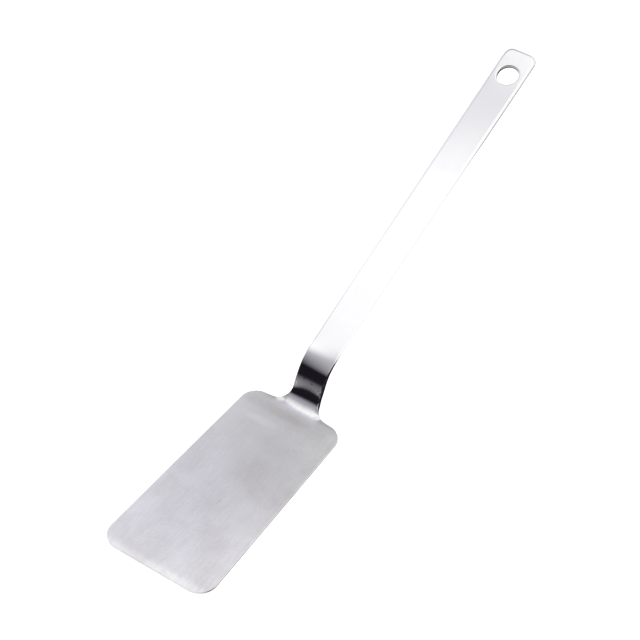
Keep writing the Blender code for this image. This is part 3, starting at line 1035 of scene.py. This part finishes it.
def softbox_colour(tree, axes):
    """The right part, the left part and the far left, and their fading to the front."""
    x, y = axes["X"], axes["Y"]
    seam = product(tree, rise(tree, y, SEAM_RISES), fall(tree, y, SEAM_FALLS),
                   fall(tree, x, SEAM_SIDE))
    right = mix(tree, seam, LAMP, SEAM_IN_DIFFUSER)
    behind = product(tree, rise(tree, y, BEHIND_RISES), fall(tree, y, LAMP_RETURNS))
    right = mix(tree, behind, right, BEHIND_THE_LAMP)
    left = mix(tree, rise(tree, y, LEFT_DIMS), LAMP, LEFT_DIFFUSER)
    slanted = sum_of(tree, y, (x, BACK_LEAN))
    left = mix(tree, rise(tree, slanted, BACK_RISES), left, BACK_OF_ROOM)
    left = mix(tree, rise(tree, y, LAMP_RETURNS), left, LAMP)
    on_left = fall(tree, sum_of(tree, x, (y, LEFT_LEAN)), LEFT_FALLS)
    lit = mix(tree, on_left, right, left)
    far_left = mix(tree, rise(tree, y, FAR_LEFT_LIGHTENS), FAR_LEFT, LAMP)
    lit = mix(tree, rise(tree, x, FAR_LEFT_ENDS), far_left, lit)
    dim = mix(tree, rise(tree, y, DIM_RISES), UNLIT, DIM_DIFFUSER)
    return mix(tree, rise(tree, y, LAMP_RISES), dim, lit)


glowing_card("overhead_softbox", SOFTBOX_X, SOFTBOX_Y, SOFTBOX_HEIGHT, softbox_colour)

# %% [markdown]
# ### The table in the steel
# The steel also mirrors the table. The camera sees an evenly white table, but the steel shows that
# it was brightest in the middle: dimmer to the front and to the back, with a painted shadow of the
# neck to its right. A card just under the turner gives it that, for reflections alone.

# %% The table as the steel sees it
TABLE_MIDDLE = (1.15, 1.15, 1.15)
TABLE_FRONT = (0.29, 0.28, 0.30)
TABLE_BACK = (0.42, 0.42, 0.42)
TABLE_CARD_DEPTH = -0.0001
TABLE_CARD_REACH = (-0.9, 0.9)

MIDDLE_RISES = (-0.08, 0.04)
BEFORE_BLADE_RISES, BLADE_SIDE_FALLS = (-0.085, -0.070), (0.034, 0.038)
BACK_BEGINS, BACK_SIDE_FALLS = (0.275, 0.305), (0.20, 0.26)
NEAR_X, NEAR_Y = (0.004, 0.010), (0.066, 0.071)
FURTHER_X, FURTHER_Y = (0.036, 0.042), (-0.20, -0.12)
DARK_PLACE_FALLS = (0.102, 0.112)


def table_colour(tree, axes):
    """Grey in front, white in the middle, grey at the back, and a painted shadow right of the neck.
    """
    x, y = axes["X"], axes["Y"]
    colour = mix(tree, rise(tree, y, MIDDLE_RISES), TABLE_FRONT, TABLE_MIDDLE)
    before_blade = product(tree, rise(tree, y, BEFORE_BLADE_RISES),
                           fall(tree, math_of(tree, "ABSOLUTE", x), BLADE_SIDE_FALLS))
    colour = mix(tree, before_blade, colour, TABLE_MIDDLE)
    behind = product(tree, rise(tree, y, BACK_BEGINS), fall(tree, x, BACK_SIDE_FALLS))
    colour = mix(tree, behind, colour, TABLE_BACK)
    # The dark place to the right of the neck is the neck's painted shadow on the table.
    near_it = product(tree, rise(tree, x, NEAR_X), rise(tree, y, NEAR_Y))
    further = product(tree, rise(tree, x, FURTHER_X), rise(tree, y, FURTHER_Y))
    painted_neck_shadow = product(tree, math_of(tree, "MAXIMUM", near_it, further),
                          fall(tree, y, DARK_PLACE_FALLS))
    return mix(tree, painted_neck_shadow, colour, UNLIT)


table_card = glowing_card("table_in_reflections", TABLE_CARD_REACH, TABLE_CARD_REACH,
                          TABLE_CARD_DEPTH, table_colour)
table_card.visible_diffuse = False

# %% [markdown]
# ### The room
# The rest of the room is the world's colour by direction: bright on the right, dimmer on the left,
# bright behind, and dark in front above a low grey band where the table ends. The dark part reaches
# further round near the horizon, most of all on the right. The camera sees plain white instead.

# %% The room
LEFT_WALL = (0.95, 0.94, 0.98)
RIGHT_WALL = (1.20, 1.20, 1.20)
BACK_WALL = (1.05, 1.05, 1.05)
WHITE = (1.0, 1.0, 1.0, 1.0)
BAND_FALLS, BAND_SIDE_FALLS = (0.0, 0.108), (-0.2, 0.1)
RIGHT_WALL_RISES, BACK_WALL_RISES = (-0.2, 0.2), (0.35, 0.75)
LOW_FALLS, LOW_SHIFT = (0.15, 0.30), 0.20
LOW_RIGHT_RISES, LOW_RIGHT_SHIFT = (0.2, 0.5), 0.25
FRONT_ENDS = (-0.50, -0.28)

world = bpy.data.worlds.new("soft_studio")
bpy.context.scene.world = world
world.use_nodes = True
sky = world.node_tree
sky.nodes.clear()
looking = put(sky, "ShaderNodeTexCoord").outputs["Generated"]
axes = put(sky, "ShaderNodeSeparateXYZ", {"Vector": looking}).outputs
low_band = product(sky, fall(sky, axes["Z"], BAND_FALLS), fall(sky, axes["X"], BAND_SIDE_FALLS))
front = mix(sky, low_band, UNLIT, TABLE_FRONT)
walls = mix(sky, rise(sky, axes["X"], RIGHT_WALL_RISES), LEFT_WALL, RIGHT_WALL)
low = fall(sky, axes["Z"], LOW_FALLS)
low_right = product(sky, low, rise(sky, axes["X"], LOW_RIGHT_RISES))
forward = sum_of(sky, axes["Y"], (low, -LOW_SHIFT), (low_right, -LOW_RIGHT_SHIFT))
room_colour = mix(sky, rise(sky, forward, FRONT_ENDS), front, walls)
room_colour = mix(sky, rise(sky, axes["Y"], BACK_WALL_RISES), room_colour, BACK_WALL)
room = put(sky, "ShaderNodeBackground", {"Color": room_colour})
plain = put(sky, "ShaderNodeBackground", {"Color": WHITE})
seen = put(sky, "ShaderNodeLightPath")
choice = put(sky, "ShaderNodeMixShader", {
    0: seen.outputs["Is Camera Ray"], 1: room.outputs[0], 2: plain.outputs[0]})
put(sky, "ShaderNodeOutputWorld", {"Surface": choice.outputs[0]})
print("world:", world.name)

# %% [markdown]
# ### The table and the lamp
# The table is plain white. One broad lamp above brightens it, and is hidden from reflections, where
# it would show as a hard shape that the photograph doesn't have.

# %% Table and lamp
TABLE_REACH = (-1.6, 1.6)
TABLE_DEPTH = -0.0002
TABLE_GREY = (0.90, 0.90, 0.90, 1.0)
TABLE_GLOW = 0.60
LAMP_PLACE = Vector((-0.5, -0.1, 1.6))
LAMP_SIZE = 1.4
LAMP_POWER = 9.0

white_table, paint = level_sheet("white_table", TABLE_REACH, TABLE_REACH, TABLE_DEPTH)
matt = put(paint, "ShaderNodeBsdfPrincipled", {
    "Base Color": TABLE_GREY, "Roughness": 0.7, "Specular IOR Level": 0.1,
    "Emission Color": WHITE, "Emission Strength": TABLE_GLOW})
put(paint, "ShaderNodeOutputMaterial", {"Surface": matt.outputs[0]})

lamp = bpy.data.objects.new("broad_lamp", bpy.data.lights.new("broad_lamp", "AREA"))
lamp.data.size = LAMP_SIZE
lamp.data.energy = LAMP_POWER
lamp.location = LAMP_PLACE
lamp.rotation_mode = "QUATERNION"
lamp.rotation_quaternion = (-LAMP_PLACE).to_track_quat("-Z", "Y")
lamp.visible_glossy = False
lamp.visible_camera = False
bpy.context.scene.collection.objects.link(lamp)
bpy.context.scene.view_settings.view_transform = "Standard"
print("lamp at", tuple(round(v, 2) for v in LAMP_PLACE))

# %% [markdown]
# ## The last check
# The new surfaces have to fill nearly the same box as the plain model. The differences are
# printed where each piece takes its node's place.
